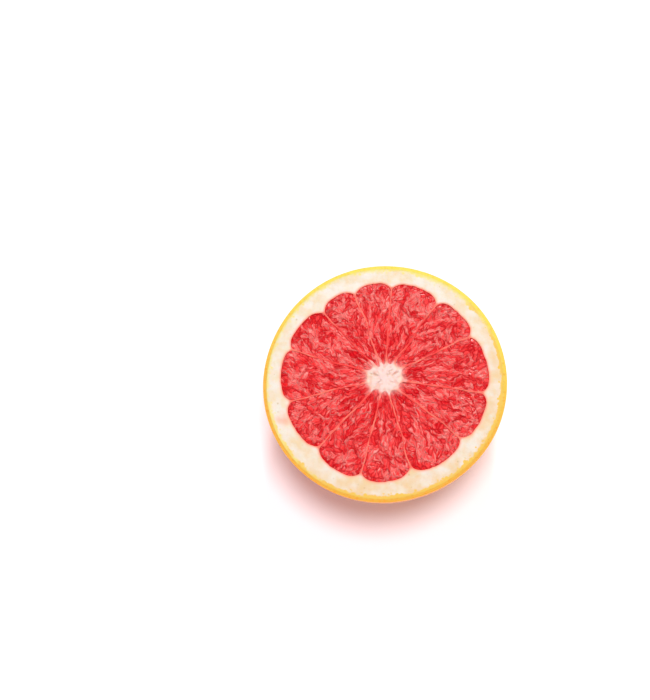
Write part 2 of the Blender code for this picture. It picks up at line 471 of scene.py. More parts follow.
def shared_group(name, inputs, outputs, fill):
    """A shader node group over a place, filled when it is first asked for."""
    if name in bpy.data.node_groups:
        return bpy.data.node_groups[name]
    group = bpy.data.node_groups.new(name, "ShaderNodeTree")
    group.interface.new_socket("Vector", in_out="INPUT", socket_type="NodeSocketVector")
    for label, start in inputs.items():
        socket = group.interface.new_socket(label, in_out="INPUT", socket_type="NodeSocketFloat")
        socket.default_value = start
    for label in outputs:
        group.interface.new_socket(label, in_out="OUTPUT", socket_type="NodeSocketFloat")
    given = group.nodes.new("NodeGroupInput").outputs
    fill(group, given, group.nodes.new("NodeGroupOutput"))
    return group


def fill_mottle(group, given, out):
    """Broad patches and fine flecks, as on anything that grew."""
    for size, result, detail in (("Patch Size", "Patches", 3.0), ("Fleck Size", "Flecks", 4.0)):
        scale = worked_out(group, "DIVIDE", 1.0, given[size])
        cloud = put(group, "ShaderNodeTexNoise",
                    {"Vector": given["Vector"], "Scale": scale, "Detail": detail})
        feed(group, out, {result: step_between(group, cloud.outputs["Fac"], 0.3, 0.7)})


def fill_glands(group, given, out):
    """Round oil glands scattered in or under the skin, each with a number of its own. On the pulp
    the same round spots place painted glints.
    """
    scale = worked_out(group, "DIVIDE", 1.0, given["Spacing"])
    cells = put(group, "ShaderNodeTexVoronoi",
                {"Vector": given["Vector"], "Scale": scale, "Randomness": 0.85})
    own = put(group, "ShaderNodeSeparateColor", {"Color": cells.outputs["Color"]}).outputs
    size = step_between(group, own["Red"], 0.0, 1.0, 0.45, 1.0)
    width = times(group, size, given["Width"])
    inner = times(group, width, 0.35)
    gland = step_between(group, cells.outputs["Distance"], inner, width, 1.0, 0.0)
    feed(group, out, {"Gland": gland, "Cell": own["Green"]})


def mottle(tree, place, patch_size, fleck_size):
    """Patches and flecks of two sizes at a place."""
    group = shared_group("Grown mottle", {"Patch Size": 0.01, "Fleck Size": 0.001},
                         ["Patches", "Flecks"], fill_mottle)
    sizes = {"Vector": place, "Patch Size": patch_size, "Fleck Size": fleck_size}
    made = put(tree, "ShaderNodeGroup", sizes, node_tree=group)
    return made.outputs["Patches"], made.outputs["Flecks"]


def glands(tree, place, spacing, width):
    """How far into a gland a place lies, and the number of the gland nearest to it."""
    group = shared_group("Oil glands", {"Spacing": 0.0015, "Width": 0.4},
                         ["Gland", "Cell"], fill_glands)
    sizes = {"Vector": place, "Spacing": spacing, "Width": width}
    made = put(tree, "ShaderNodeGroup", sizes, node_tree=group)
    return made.outputs["Gland"], made.outputs["Cell"]


def new_material(name):
    """A material with an empty tree but for its shader: the material, tree and shader."""
    material = bpy.data.materials.new(name)
    material.use_nodes = True
    return material, material.node_tree, material.node_tree.nodes["Principled BSDF"]


def coat(weight, roughness):
    """A shader's clear wet or waxy coat."""
    return {"Coat Weight": weight, "Coat Roughness": roughness}


def glow(weight, radius, scale):
    """How light spreads under a shader's surface: its share, and how far each colour goes."""
    return {"Subsurface Weight": weight, "Subsurface Radius": radius, "Subsurface Scale": scale}


# Shape of the fruit, shared by the rind and the pith


def solid_outline():
    """Angles and radii of the solid rind's outer edge at the cut, for its uneven outline."""
    spots = vertex_places(frame["nodes"]["rind"].data)
    rim = spots[spots[:, 2] > CUT_HEIGHT - 0.00001]
    reach = np.hypot(rim[:, 0], rim[:, 1])
    rim = rim[reach > CUT_RADIUS - RIND_THICKNESS / 2.0]
    angles = np.arctan2(rim[:, 1], rim[:, 0])
    order = np.argsort(angles)
    return angles[order], np.hypot(rim[:, 0], rim[:, 1])[order]


def swell_at(plan):
    """How much wider than a circle the fruit is towards each plan point."""
    known, radii = solid_outline()
    angles = np.arctan2(plan[:, 1], plan[:, 0])
    return np.interp(angles, known, radii, period=2.0 * math.pi) / CUT_RADIUS


def wall_ring(share):
    """Radius and height a share of the way down the pith's curved wall to its flat bottom."""
    angle = share * math.acos(FLAT_SPOT_RADIUS / CUT_RADIUS)
    return PITH_RADIUS * math.cos(angle), CUT_HEIGHT - PITH_DEPTH * math.sin(angle)


# Rind


class GrapefruitRind(bpy.types.PropertyGroup):
    """Colours and pores of the skin."""

    gold: colour_setting("Gold", "Ripe skin", (0.93, 0.43, 0.015))
    lemon: colour_setting(
        "Lemon", "Paler skin on the side that ripened last", (0.96, 0.62, 0.04))
    blush: colour_setting("Blush", "Skin on the side that had the sun", (0.90, 0.22, 0.010))
    zest: colour_setting("Zest", "Cut edge of the coloured layer", (0.68, 0.385, 0.045))
    pore_spacing: length_setting(
        "Pore spacing", "Distance between pits in the skin", 0.0019, 0.0005)
    pore_depth: length_setting("Pore depth", "Depth of a pit", 0.00011)
    seed: IntProperty(name="Seed", description="Which scatter of pores", default=5)


def scatter_on_dome(spacing, draw):
    """Evenly scattered places on the dome's skin, a spacing apart, each a little astray."""
    count = int(2.0 * math.pi * CUT_RADIUS * DOME_DEPTH / (0.87 * spacing * spacing))
    turn = math.pi * (3.0 - math.sqrt(5.0))
    spots = []
    for at in range(count):
        down = (at + 0.5) / count
        around = at * turn
        side = math.sqrt(1.0 - down * down)
        spot = Vector((side * math.cos(around), side * math.sin(around), -down))
        stray = Vector([draw.gauss(0.0, PORE_STRAY) for _ in range(3)])
        spot += stray * spacing / CUT_RADIUS
        spot.normalize()
        spots.append((spot.x * CUT_RADIUS, spot.y * CUT_RADIUS, spot.z * DOME_DEPTH))
    return spots


def pits(places, spacing, draw):
    """How far into a pore each place lies, from 0 to 1."""
    spots = scatter_on_dome(spacing, draw)
    tree = search_tree(spots)
    strength = [draw.uniform(*PORE_STRENGTHS) for _ in spots]
    width = [spacing * draw.uniform(*PORE_WIDTHS) for _ in spots]
    depths = np.empty(len(places))
    for at, place in enumerate(places.tolist()):
        _, which, gap = tree.find(place)
        depths[at] = strength[which] * math.exp(-((gap / width[which]) ** 2))
    return depths


def rind_block():
    """Half a finely divided cube whose open edge is drawn up into rim and wall rings.

    The rings stand one unit apart above the half cube, so that a vertex's height tells which
    ring it belongs to when the block is pressed into its shape.
    """
    bpy.ops.mesh.primitive_cube_add(size=2.0)
    bpy.ops.object.mode_set(mode="EDIT")
    bpy.ops.mesh.select_all(action="SELECT")
    bpy.ops.mesh.subdivide(number_cuts=QUARTER_STEPS // 2 - 1)
    bpy.ops.mesh.subdivide(number_cuts=1)
    shape = bmesh.from_edit_mesh(bpy.context.active_object.data)
    for vertex in shape.verts:
        vertex.select_set(vertex.co.z > 0.001)
    shape.select_flush(True)
    bmesh.update_edit_mesh(bpy.context.active_object.data)
    bpy.ops.mesh.delete(type="VERT")
    return close_block(RIM_RINGS + WALL_RINGS, 1.0)


def press_rind(mesh, settings):
    """Press the block into the rind, with pores in its skin, and store what colours it."""
    draw = random.Random(settings.seed)
    block = vertex_places(mesh)
    ring = np.round(np.maximum(block[:, 2], 0.0)).astype(int)
    skin = ring == 0
    block[~skin, 2] = 0.0
    aim = unit_vectors(np.tan(block * math.pi / 4.0))
    places = aim * (CUT_RADIUS, CUT_RADIUS, DOME_DEPTH)

    pore = np.zeros(len(places))
    pore[skin] = pits(places[skin], settings.pore_spacing, draw)
    relief = waves(places, SKIN_WAVES) - settings.pore_depth * pore
    places += aim * (relief * eased(-places[:, 2], 0.0, CALM_EDGE))[:, None]
    places[:, 2] = np.minimum(places[:, 2], -RIM_DROP) + CUT_HEIGHT
    reach = np.hypot(places[:, 0], places[:, 1])
    scar = np.exp(-((reach / SCAR_RADIUS) ** 4)) * skin * (places[:, 2] < SCAR_TOP)
    floor = SCAR_RISE * scar + HOLLOW_RISE * bell(reach, HOLLOW_RADIUS)
    places[:, 2] = np.where(skin, np.maximum(places[:, 2], floor), places[:, 2])

    zest = np.zeros(len(places))
    for at in range(1, RIM_RINGS + WALL_RINGS + 1):
        share = min((at - 1) / (RIM_RINGS - 1), 1.0)
        if at <= RIM_RINGS:
            radius = CUT_RADIUS - RIM_INSET - (RIND_THICKNESS - RIM_INSET) * share
            height = CUT_HEIGHT
        else:
            radius, height = wall_ring((at - RIM_RINGS) / WALL_RINGS)
        here = ring == at
        places[here, :2] = aim[here, :2] * radius
        places[here, 2] = height
        zest[here] = ZEST_START + (1.0 - ZEST_START) * share
    places[:, :2] *= swell_at(places)[:, None]
    rim = (ring > 0) & (ring <= RIM_RINGS)
    places[rim, 2] += waves(places[rim, :2], FACE_WAVES)
    place_vertices(mesh, places)
    store(mesh, {"pore": pore, "scar": scar, "zest": zest})


def skin_material(settings):
    """Waxy skin: gold going to lemon and to a blush, with dark pores and a dry scar."""
    material, tree, shader = new_material("grapefruit_skin")
    place = object_place(tree)
    x, y = plan_of(tree, place)
    patches, flecks = mottle(tree, place, 0.022, 0.0021)
    gland, _ = glands(tree, place, 0.0011, 0.42)
    scar = stored(tree, "scar")
    sunny = weighted(tree, (x, -9.0), (y, -7.0), (patches, 0.45))
    base = laid_over(
        tree, settings.gold,
        (step_between(tree, sunny, 0.25, 1.0), settings.blush),
        (step_between(tree, sunny, 0.25, -0.55), settings.lemon),
        (times(tree, flecks, 0.35), [0.8 * value for value in settings.gold]),
        (times(tree, gland, 0.35), GLAND_SHADE),
        (times(tree, stored(tree, "pore"), 0.5), PORE_SHADE),
        (scar, SCAR_BROWN),
    )
    gloss = step_between(tree, flecks, 0.0, 1.0, 0.34, 0.50)
    feed(tree, shader, {
        "Base Color": base,
        "Roughness": worked_out(tree, "MAXIMUM", gloss, scar),
        "Normal": bump(tree, worked_out(tree, "SUBTRACT", flecks, gland), 0.00006),
        **coat(0.25, 0.22),
        **glow(0.12, (1.0, 0.4, 0.1), 0.002),
    })
    return material


def zest_material(settings):
    """Cut edge of the rind: skin, a layer of golden oil glands, and a pale uneven inner side. The
    lit top side is painted paler lemon with fainter glands: painted light.
    """
    material, tree, shader = new_material("grapefruit_zest")
    place = object_place(tree)
    x, y = plan_of(tree, place)
    _, flecks = mottle(tree, place, 0.0080, 0.0011)
    gland, _ = glands(tree, place, 0.0017, 0.55)
    depth = stored(tree, "zest")
    ragged = weighted(tree, (depth, 1.0), (flecks, 0.35))
    # Painted light: towards the lit top side the zest and its inner side turn paler lemon and the
    # orange glands fade; towards the low side they stay deeper gold, together with the fruit's
    # own shift from lemon to gold
    lit = weighted(tree, (y, 11.0), (x, 3.0))
    lemon = step_between(tree, lit, -0.35, 0.6)
    oily = times(tree, gland, step_between(tree, lit, -0.35, 0.6, 0.85, 0.15))
    golden = laid_over(tree, settings.zest, (lemon, ZEST_LIT_YELLOW), (oily, ZEST_OIL))
    base = laid_over(
        tree, settings.gold,
        (step_between(tree, depth, 0.05, 0.16), golden),
        (step_between(tree, ragged, 0.85, 1.45), mixed(tree, lemon, INNER_GOLD, INNER_LIT_YELLOW)),
    )
    feed(tree, shader, {
        "Base Color": base,
        "Roughness": 0.42,
        "Normal": bump(tree, gland, 0.00008),
        **coat(0.25, 0.2),
        **glow(0.25, (1.0, 0.6, 0.2), 0.0015),
    })
    return material


class GRAPEFRUIT_OT_rind(bpy.types.Operator):
    """Build the rind: waxy pored skin over the dome and a cut golden edge"""

    bl_idname = "grapefruit.rind"
    bl_label = "Rind"

    def execute(self, context):
        deselect_all()
        settings = context.scene.grapefruit_rind
        mesh = rind_block().data
        press_rind(mesh, settings)
        face_outwards()
        bpy.ops.object.shade_smooth_by_angle(angle=math.radians(38.0))
        mesh.materials.append(skin_material(settings))
        mesh.materials.append(zest_material(settings))
        zest = np.empty(len(mesh.vertices), np.float32)
        mesh.attributes["zest"].data.foreach_get("value", zest)
        for face in mesh.polygons:
            face.material_index = int(max(zest[corner] for corner in face.vertices) > 0.0)
        piece_from("rind_skin", ["rind"])
        return {"FINISHED"}


# Outlines of the segments, read from the solids


def solid_loops(node):
    """A segment's outlines in the solids, from its rim down, each as its corners.

    The corners run anticlockwise from the inner tip: out along one membrane, round the lobe
    and back along the other. Juice sacs stand inside the highest outline and are left out.
    """
    spots = np.unique(np.round(vertex_places(frame["nodes"][node].data), 6), axis=0)
    levels = []
    for height in sorted(set(np.round(spots[:, 2], 5)), reverse=True):
        level = spots[np.abs(spots[:, 2] - height) < 0.00002, :2]
        if height > CUT_HEIGHT - SAC_FOOT or len(level) < CORNERS:
            continue
        middle = (level.min(axis=0) + level.max(axis=0)) / 2.0
        angles = np.arctan2(level[:, 1] - middle[1], level[:, 0] - middle[0])
        level = level[np.argsort(angles)]
        if len(level) > CORNERS:
            level = hull_of(level)
        tip = np.argmin(distance_from(level, CORE_PLACE))
        levels.append((float(height), np.roll(level, -tip, axis=0)))
    return levels


def hull_of(points):
    """Those of the points that lie on their convex outline, or all but on it."""
    kept = []
    for point in points:
        away = points - point
        away = away[np.hypot(away[:, 0], away[:, 1]) > HAIR]
        angles = np.sort(np.arctan2(away[:, 1], away[:, 0]))
        gaps = np.diff(np.append(angles, angles[0] + 2.0 * math.pi))
        if gaps.max() > FREE_TURN:
            kept.append(point)
    return np.array(kept)


def smooth_loop(corners):
    """A smooth closed curve through corners at uneven distances."""
    after = np.roll(corners, -1, axis=0)
    span = np.linalg.norm(after - corners, axis=1)[:, None]
    slope = (after - corners) / span
    span_before, slope_before = np.roll(span, 1, axis=0), np.roll(slope, 1, axis=0)
    tangent = (slope_before * span_before + slope * span) / (span + span_before)
    tangent_after = np.roll(tangent, -1, axis=0)
    points = []
    for share in np.arange(SPAN_POINTS) / SPAN_POINTS:
        square, cube = share * share, share ** 3
        points.append(
            (2.0 * cube - 3.0 * square + 1.0) * corners
            + (cube - 2.0 * square + share) * span * tangent
            + (3.0 * square - 2.0 * cube) * after
            + (cube - square) * span * tangent_after
        )
    return np.stack(points, axis=1).reshape(-1, 2)


def wandered(points):
    """Plan points moved as the membranes wander, less and less towards the rind."""
    fade = 1.0 - eased(np.hypot(points[:, 0], points[:, 1]), *WANDER_ENDS)
    return points + rough_pair(points, WANDER_SIZE, 11.3, 23.8) * (2.0 * WANDER * fade)[:, None]


def swollen(points, seed, amount):
    """A loop grown outwards by an amount, and by a slight waver of its own."""
    along = np.roll(points, -1, axis=0) - np.roll(points, 1, axis=0)
    out = unit_vectors(np.column_stack((along[:, 1], -along[:, 0])))
    waver = 2.0 * WAVER * rough(points, WAVER_SIZE, 40.0 + 3.0 * seed)
    return points + out * (amount + waver)[:, None]


def along_side(side, share):
    """Points a share of the way along a side."""
    at = np.linspace(0.0, 1.0, len(side))
    return np.column_stack([np.interp(share, at, side[:, axis]) for axis in (0, 1)])


def evenly(curve):
    """A curve as evenly spaced points, as many as every other curve has."""
    steps = np.linalg.norm(np.diff(curve, axis=0), axis=1)
    length = np.append(0.0, np.cumsum(steps))
    at = np.linspace(0.0, length[-1], CURVE_POINTS)
    return np.column_stack([np.interp(at, length, curve[:, axis]) for axis in (0, 1)])


def segment_sides(node, seed, amount):
    """Each of a segment's levels as its height and four sides: tip, lobe, low and high."""
    start, end = LOBE_START * SPAN_POINTS, LOBE_END * SPAN_POINTS
    last = (CORNERS - 1) * SPAN_POINTS
    levels = []
    for height, corners in solid_loops(node):
        if len(corners) != CORNERS:
            raise RuntimeError(f"{node} has {len(corners)} corners at {height:.4f}")
        loop = swollen(wandered(smooth_loop(corners)), seed, amount)
        tip = np.concatenate((loop[last:], loop[:SPAN_POINTS + 1]))[::-1]
        lobe = loop[start:end + 1]
        low = loop[SPAN_POINTS:start + 1]
        high = loop[end:last + 1][::-1]
        levels.append((height, [evenly(side) for side in (tip, lobe, low, high)]))
    return levels


def stretched(sides, across, out):
    """Plan points a share across a segment and a share out, fitted to its four sides."""
    tip, lobe, low, high = sides
    a, b = across[:, None], out[:, None]
    edges = (
        (1.0 - b) * along_side(tip, across) + b * along_side(lobe, across)
        + (1.0 - a) * along_side(low, out) + a * along_side(high, out)
    )
    corners = (
        (1.0 - a) * (1.0 - b) * tip[0] + a * (1.0 - b) * tip[-1]
        + (1.0 - a) * b * lobe[0] + a * b * lobe[-1]
    )
    return edges - corners


def wedge_blocks(columns, steps, levels):
    """A unit block for each segment: a grid with its edge drawn down, a unit a level."""
    deselect_all()
    bpy.ops.mesh.primitive_grid_add(x_subdivisions=columns, y_subdivisions=steps, size=1.0)
    bpy.ops.object.mode_set(mode="EDIT")
    first = close_block(levels - 1, -1.0)
    face_outwards()
    return [first] + [add_object(node, first.data.copy()) for node in SEGMENT_NODES[1:]]


def fit_block(mesh, levels):
    """Press a unit block between a segment's levels: its places, shares across and out, top."""
    block = vertex_places(mesh)
    across, out = 0.5 - block[:, 0], block[:, 1] + 0.5
    level = np.round(-block[:, 2]).astype(int)
    places = np.empty_like(block)
    for at, (height, sides) in enumerate(levels):
        here = level == at
        places[here, :2] = stretched(sides, across[here], out[here])
        places[here, 2] = height
    return places, across, out, level == 0


# Pith


class GrapefruitPith(bpy.types.PropertyGroup):
    """Colours and relief of the pith, its membranes and its core."""

    cream: colour_setting("Cream", "Pith between the rind and the pulp", (0.655, 0.624, 0.479))
    warm: colour_setting(
        "Warm", "Pith on the side that ripened in the sun", (0.655, 0.525, 0.310))
    peach: colour_setting("Peach", "Tint where the pith meets the pulp", (0.83, 0.30, 0.20))
    membrane: colour_setting("Membrane", "Skin between two segments", (0.84, 0.21, 0.15))
    veiled: colour_setting("Veiled", "Skin that juice has run over", (0.74, 0.055, 0.050))
    core: colour_setting("Core", "Middle of the core", (0.70, 0.585, 0.535))
    membrane_rise: length_setting(
        "Membrane rise", "How far a membrane stands above the cut", 0.00016)


def pith_block():
    """A disc divided into rings, with its edge drawn down a unit a level and closed."""
    bpy.ops.mesh.primitive_circle_add(
        vertices=4 * QUARTER_STEPS, radius=PITH_RADIUS, fill_type="NGON")
    bpy.ops.object.mode_set(mode="EDIT")
    bpy.ops.mesh.select_mode(type="FACE")
    bpy.ops.mesh.select_all(action="SELECT")
    for _ in range(int(PITH_RADIUS / PITH_RING) - 1):
        bpy.ops.mesh.inset(thickness=PITH_RING, depth=0.0)
    bpy.ops.mesh.merge(type="CENTER")
    pith = close_block(WALL_RINGS, -1.0)
    face_outwards()
    return pith


def press_pith(mesh):
    """Press the ringed disc into the pith's dome, before the pockets are cut from it."""
    places = vertex_places(mesh)
    ring = np.round(-places[:, 2]).astype(int)
    reach = np.hypot(places[:, 0], places[:, 1])
    places[:, 2] = CUT_HEIGHT
    for at in range(1, WALL_RINGS + 1):
        here = ring == at
        radius, height = wall_ring(at / WALL_RINGS)
        places[here, :2] *= (radius / reach[here])[:, None]
        places[here, 2] = height
    places[:, :2] *= swell_at(places)[:, None]
    place_vertices(mesh, places)


def pocket_levels(node, at):
    """A pocket's levels: a segment's, with its rim drawn to both sides of the cut."""
    levels = segment_sides(node, at, POCKET_SWELL)
    rim = levels[0][1]
    return [(CUT_HEIGHT + POCKET_RISE, rim), (CUT_HEIGHT - POCKET_RISE, rim)] + levels[1:]


def cut_pockets(pith):
    """Hollow the twelve pockets out of the pith, one cutter for each segment."""
    plans = [pocket_levels(node, at) for at, node in enumerate(SEGMENT_NODES)]
    cutters = bpy.data.collections.new("pocket_cutters")
    bpy.context.scene.collection.children.link(cutters)
    for cutter, levels in zip(wedge_blocks(POCKET_COLUMNS, POCKET_STEPS, len(plans[0])), plans):
        place_vertices(cutter.data, fit_block(cutter.data, levels)[0])
        for collection in list(cutter.users_collection):
            collection.objects.unlink(cutter)
        cutters.objects.link(cutter)
    cut = pith.modifiers.new("Pockets", "BOOLEAN")
    cut.operation = "DIFFERENCE"
    cut.solver = "MANIFOLD"
    cut.operand_type = "COLLECTION"
    cut.collection = cutters
    select_only(pith)
    bpy.ops.object.modifier_apply(modifier=cut.name)
    for cutter in list(cutters.objects):
        bpy.data.meshes.remove(cutter.data)
    bpy.data.collections.remove(cutters)


def pulp_gaps(plan):
    """Distances of plan points from the nearest segment's outline and from the next one's."""
    gaps = []
    for at, node in enumerate(SEGMENT_NODES):
        outline = np.concatenate(segment_sides(node, at, POCKET_SWELL)[0][1])
        tree = search_tree([(x, y, 0.0) for x, y in outline])
        gaps.append([tree.find((x, y, 0.0))[2] for x, y in plan.tolist()])
    gaps = np.sort(np.array(gaps), axis=0)
    return gaps[0], gaps[1]


def core_splits(plan):
    """How far into one of the core's splits each plan point lies, from 0 to 1."""
    depth = np.zeros(len(plan))
    spots = plan - CORE_PLACE + 2.0 * (0.0004 * rough_pair(plan, 0.0011, 61.0, 71.0))
    for start, end, width in CORE_SPLITS:
        run = np.subtract(end, start)
        share = np.clip((spots - start) @ run / (run @ run), 0.0, 1.0)
        gap = np.linalg.norm(spots - start - share[:, None] * run, axis=1)
        depth = np.maximum(depth, bell(gap, width * (1.2 - 0.7 * share)))
    return depth


def veiled_share(plan, from_core, around):
    """How far juice hides a membrane at each plan point, from 0 to 1."""
    veiled = 0.85 * eased(rough(plan, 0.0060, 83.0), -0.30, 0.25)
    for towards, width in VEILED_SIDES:
        aside = (around - towards + math.pi) % (2.0 * math.pi) - math.pi
        veiled += bell(aside, width)
    ends = eased(from_core, *VEILED_FROM) * (1.0 - eased(from_core, *VEILED_TO))
    return np.minimum(veiled, 1.0) * ends


def finish_pith(mesh, settings):
    """Raise the pith's cut face into its relief and store what colours it."""
    places = vertex_places(mesh)
    top = places[:, 2] > CUT_HEIGHT - 0.00001
    plan = places[top, :2]
    near, other = pulp_gaps(plan)
    from_core = distance_from(plan, CORE_PLACE)
    around = np.arctan2(plan[:, 1] - CORE_PLACE[1], plan[:, 0] - CORE_PLACE[0])
    membrane = 1.0 - eased(near + other, *MEMBRANE_SPAN)
    split = core_splits(plan) * (1.0 - eased(from_core, *SPLIT_ENDS))
    ragged = CORE_RAGGED * rough(plan, CORE_RAGGED_SIZE, 55.0)
    core = 1.0 - eased(from_core + ragged, *CORE_ENDS)
    rays = np.column_stack((3.2 * np.cos(around), 3.2 * np.sin(around), from_core / 0.002))
    ray = eased(rough(rays, 1.0, 57.0), -0.10, 0.35) * eased(from_core, 0.0010, 0.0050)
    from_stain = distance_from(plan, STAIN_PLACE) / STAIN_SIZE
    stain = 0.55 * bell(from_stain + 0.5 * rough(plan, 0.003, 95.0), 1.0)

    height = waves(plan, FACE_WAVES) - PULP_DIP * fading(near, PULP_DIP_WIDTH)
    height += membrane * settings.membrane_rise * (1.0 + rough(plan, 0.004, 31.0))
    uneven = CORE_WAVES * rough(plan, CORE_WAVES_SIZE, 51.0)
    height += core * (CORE_RISE + uneven - RAY_DEPTH * ray)
    places[top, 2] += height - SPLIT_DEPTH * split
    place_vertices(mesh, places)
    store(mesh, {
        "near_pulp": np.maximum(fading(near, TINT_WIDTH), stain),
        "membrane": membrane,
        "veiled": membrane * veiled_share(plan, from_core, around),
        "split": split,
        "core": core,
        "ray": ray,
        "reach": np.hypot(plan[:, 0], plan[:, 1]) / swell_at(plan),
    }, top)


def pith_material(settings):
    """Soft cream pith, peach against the pulp, with salmon membranes and a pale core."""
    material, tree, shader = new_material("grapefruit_pith")
    place = object_place(tree)
    x, y = plan_of(tree, place)
    patches, flecks = mottle(tree, place, 0.0060, 0.0019)
    gland, _ = glands(tree, place, 0.0020, 0.60)
    speck, cell = glands(tree, place, 0.0028, 0.24)
    membrane = stored(tree, "membrane")

    # The yellow band under the zest, narrower and golden on the low side, and paler lemon on the
    # lit top side as painted light
    low = weighted(tree, (y, 1.0), (x, -0.8), (patches, -0.03))
    ragged = weighted(tree, (flecks, 0.0007), (patches, 0.0006), (gland, 0.0011))
    edge = weighted(tree, (stored(tree, "reach"), 1.0), (ragged, 1.0), (low, -0.006))
    start = step_between(tree, low, -0.030, 0.020, 0.0527, 0.0520)
    end = step_between(tree, low, -0.030, 0.020, 0.0536, 0.0541)
    band = mixed(tree, step_between(tree, low, -0.040, 0.002), BAND_GOLD, BAND_LIT_YELLOW)

    skin = mixed(tree, times(tree, flecks, 0.6), settings.membrane, MEMBRANE_FLECK)
    # Painted shade: the core's sunken rays are darkened towards pinkish brown
    heart = mixed(tree, times(tree, stored(tree, "ray"), 0.55), settings.core, CORE_RAY_SHADE)
    base = laid_over(
        tree, settings.cream,
        (step_between(tree, low, 0.030, -0.060), settings.warm),
        (times(tree, flecks, 0.55), PITH_FLECK),
        (times(tree, patches, 0.75), PITH_PATCH),
        (times(tree, times(tree, speck, cell), 0.8), PITH_SPECK),
        (step_between(tree, edge, start, end), band),
        (step_between(tree, stored(tree, "near_pulp"), 0.10, 0.95), settings.peach),
        (membrane, skin),
        (stored(tree, "veiled"), settings.veiled),
        (stored(tree, "core"), heart),
        # Painted shade in the core's sunken splits
        (times(tree, stored(tree, "split"), 0.6), CORE_SPLIT),
    )
    feed(tree, shader, {
        "Base Color": base,
        "Roughness": step_between(tree, membrane, 0.0, 1.0, 0.55, 0.30),
        "Normal": bump(tree, flecks, 0.00006),
        **glow(0.35, (1.0, 0.55, 0.35), 0.0015),
    })
    return material


class GRAPEFRUIT_OT_pith(bpy.types.Operator):
    """Build the pith in one piece with its membranes and core, round the segments' pockets"""

    bl_idname = "grapefruit.pith"
    bl_label = "Pith, membranes and core"

    def execute(self, context):
        deselect_all()
        settings = context.scene.grapefruit_pith
        pith = pith_block()
        press_pith(pith.data)
        cut_pockets(pith)
        finish_pith(pith.data, settings)
        bpy.ops.object.shade_smooth_by_angle(angle=math.radians(50.0))
        pith.data.materials.clear()
        pith.data.materials.append(pith_material(settings))
        piece_from("pith_flesh", ["pith"])
        return {"FINISHED"}


# Pulp


class GrapefruitPulp(bpy.types.PropertyGroup):
    """Colours and size of the juice sacs."""

    deep: colour_setting("Deep", "Juice between and deep in the sacs", (0.57, 0.004, 0.010))
    ripe: colour_setting("Ripe", "Sacs full of juice", (0.76, 0.056, 0.057))
    clear: colour_setting("Clear", "Sacs through which light comes", (0.76, 0.025, 0.018))
    pale: colour_setting("Pale", "Skin of the sacs", (0.84, 0.28, 0.25))
    sac_length: length_setting("Sac length", "Half the length of a juice sac", 0.0026, 0.0005)
    sac_width: length_setting("Sac width", "Half the width of a juice sac", 0.00058, 0.0002)
    sac_height: length_setting("Sac height", "How far a sac bulges above its edges", 0.00042)
    sacs: IntProperty(name="Sacs", description="Juice sacs on a segment's face", default=150)
    seed: IntProperty(name="Seed", description="Which scatter of sacs", default=21)


def flow_at(sides, across, out):
    """Which way is outwards along a segment's length at each share."""
    low, high = np.clip(out - 0.02, 0.0, 1.0), np.clip(out + 0.02, 0.0, 1.0)
    return unit_vectors(stretched(sides, across, high) - stretched(sides, across, low))


class Sacs:
    """A segment's juice sacs: where each lies, which way it points and how big it is."""

    def __init__(self, sides, settings, draw):
        self.length = draw.uniform(*SAC_LENGTHS, settings.sacs) * settings.sac_length
        self.width = draw.uniform(*SAC_WIDTHS, settings.sacs) * settings.sac_width
        self.tone = draw.uniform(0.0, 1.0, settings.sacs)
        self.wall = draw.uniform(0.0, 1.0, settings.sacs)
        self.lift = draw.uniform(-1.0, 1.0, settings.sacs)
        self.glint_streak = draw.uniform(*SAC_GLINT_STREAKS, settings.sacs)
        self.reach = np.linalg.norm(sides[1][0] - sides[1][-1])
        self.place = np.empty((0, 2))
        self.aim = np.empty((0, 2))
        fan = draw.uniform(-0.5, 1.3)
        sway = draw.uniform(0.0, 100.0)
        for at in range(settings.sacs):
            across = draw.uniform(0.02, 0.98, SAC_TRIES)
            out = np.sqrt(draw.uniform(0.0, 1.0, SAC_TRIES))
            spots = stretched(sides, across, out)
            free = eased(out, *SAC_FREEDOM)
            lean = (across - 0.5) * fan * free + draw.normal(0.0, 0.10 + 0.30 * free)
            lean += (0.3 + 1.7 * free) * rough(spots, 0.0060, sway)
            flow = flow_at(sides, across, out)
            turned = np.column_stack((
                flow[:, 0] * np.cos(lean) + flow[:, 1] * np.sin(lean),
                flow[:, 1] * np.cos(lean) - flow[:, 0] * np.sin(lean),
            ))
            best = 0
            if at:
                best = int(np.argmax(self.measure(spots, at)[0].min(axis=1)))
            rim = min(1.0, (1.0 - out[best]) * 5.0)
            self.length[at] *= 0.40 + 0.60 * rim
            self.width[at] *= 1.25 - 0.25 * rim
            self.place = np.vstack((self.place, spots[best]))
            self.aim = np.vstack((self.aim, turned[best]))

    def measure(self, spots, count=None):
        """Distance of each spot from each sac, in sac sizes, and its place along and across."""
        away = spots[:, None, :] - self.place[None, :count, :]
        aim = self.aim[None, :count, :]
        length, width = self.length[:count], self.width[:count]
        along = (away * aim).sum(axis=2) / length
        aside = (away[:, :, 0] * aim[:, :, 1] - away[:, :, 1] * aim[:, :, 0]) / width
        taper = 1.0 + 0.35 * np.clip(along, -1.3, 1.0)
        return np.hypot(along, aside / taper), along, aside


